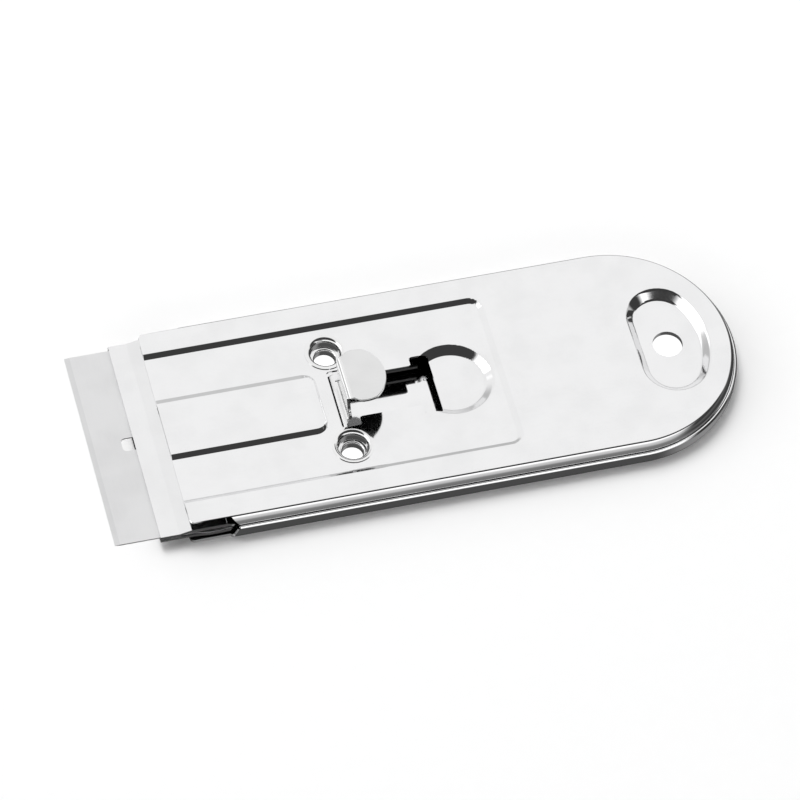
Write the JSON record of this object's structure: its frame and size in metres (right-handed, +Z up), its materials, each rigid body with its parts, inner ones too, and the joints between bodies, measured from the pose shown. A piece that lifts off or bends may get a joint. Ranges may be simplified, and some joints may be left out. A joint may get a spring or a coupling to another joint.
{
  "type": "ceramic hob scraper",
  "caption": "Flat pressed-steel scraper for glass ceramic hobs, whose razor blade slides out and in on a sprung thumb tab.",
  "frame": {"origin": "on the resting face, under the middle of the scraper's overall length and width with its blade out", "axes": "+X from the blade to the round end, +Y across to the left with the tab up and the blade in front, +Z up through the thumb tab"},
  "size_m": [0.1244, 0.0464, 0.0118],
  "materials": {
    "plated_shell": "bright nickel plating on pressed steel",
    "plated_eyelet": "bright nickel plating, rolled edge",
    "plated_carrier": "plated spring steel, slightly dull",
    "satin_tab": "plated spring steel with a satin thumb face",
    "ground_blade": "fine ground blade steel with a brighter bevel"
  },
  "bodies": {
    "case": {"upper_shell": "plated_shell", "lower_shell": "plated_shell", "left_eyelet": "plated_eyelet", "right_eyelet": "plated_eyelet"},
    "carrier": {"slider_plate": "plated_carrier", "clamp_leaf": "plated_carrier"},
    "tongue": {"thumb_tongue": "satin_tab"},
    "blade": {"blade": "ground_blade"}
  },
  "joints": [
    {"name": "carrier_slide", "type": "slide", "parent": "case", "child": "carrier", "axis": [1, 0, 0], "range_m": [0, 0.0159]},
    {"name": "tongue_press", "type": "hinge", "parent": "carrier", "child": "tongue", "pos_m": [-0.0355, 0, 0.0023], "axis": [0, 1, 0], "range_deg": [-1.1, 2.1], "stiffness_Nm_per_rad": 0.3, "springref_deg": -1.1},
    {"name": "blade_change", "type": "slide", "parent": "carrier", "child": "blade", "axis": [-1, 0, 0], "range_m": [0, 0.0135]}
  ]
}
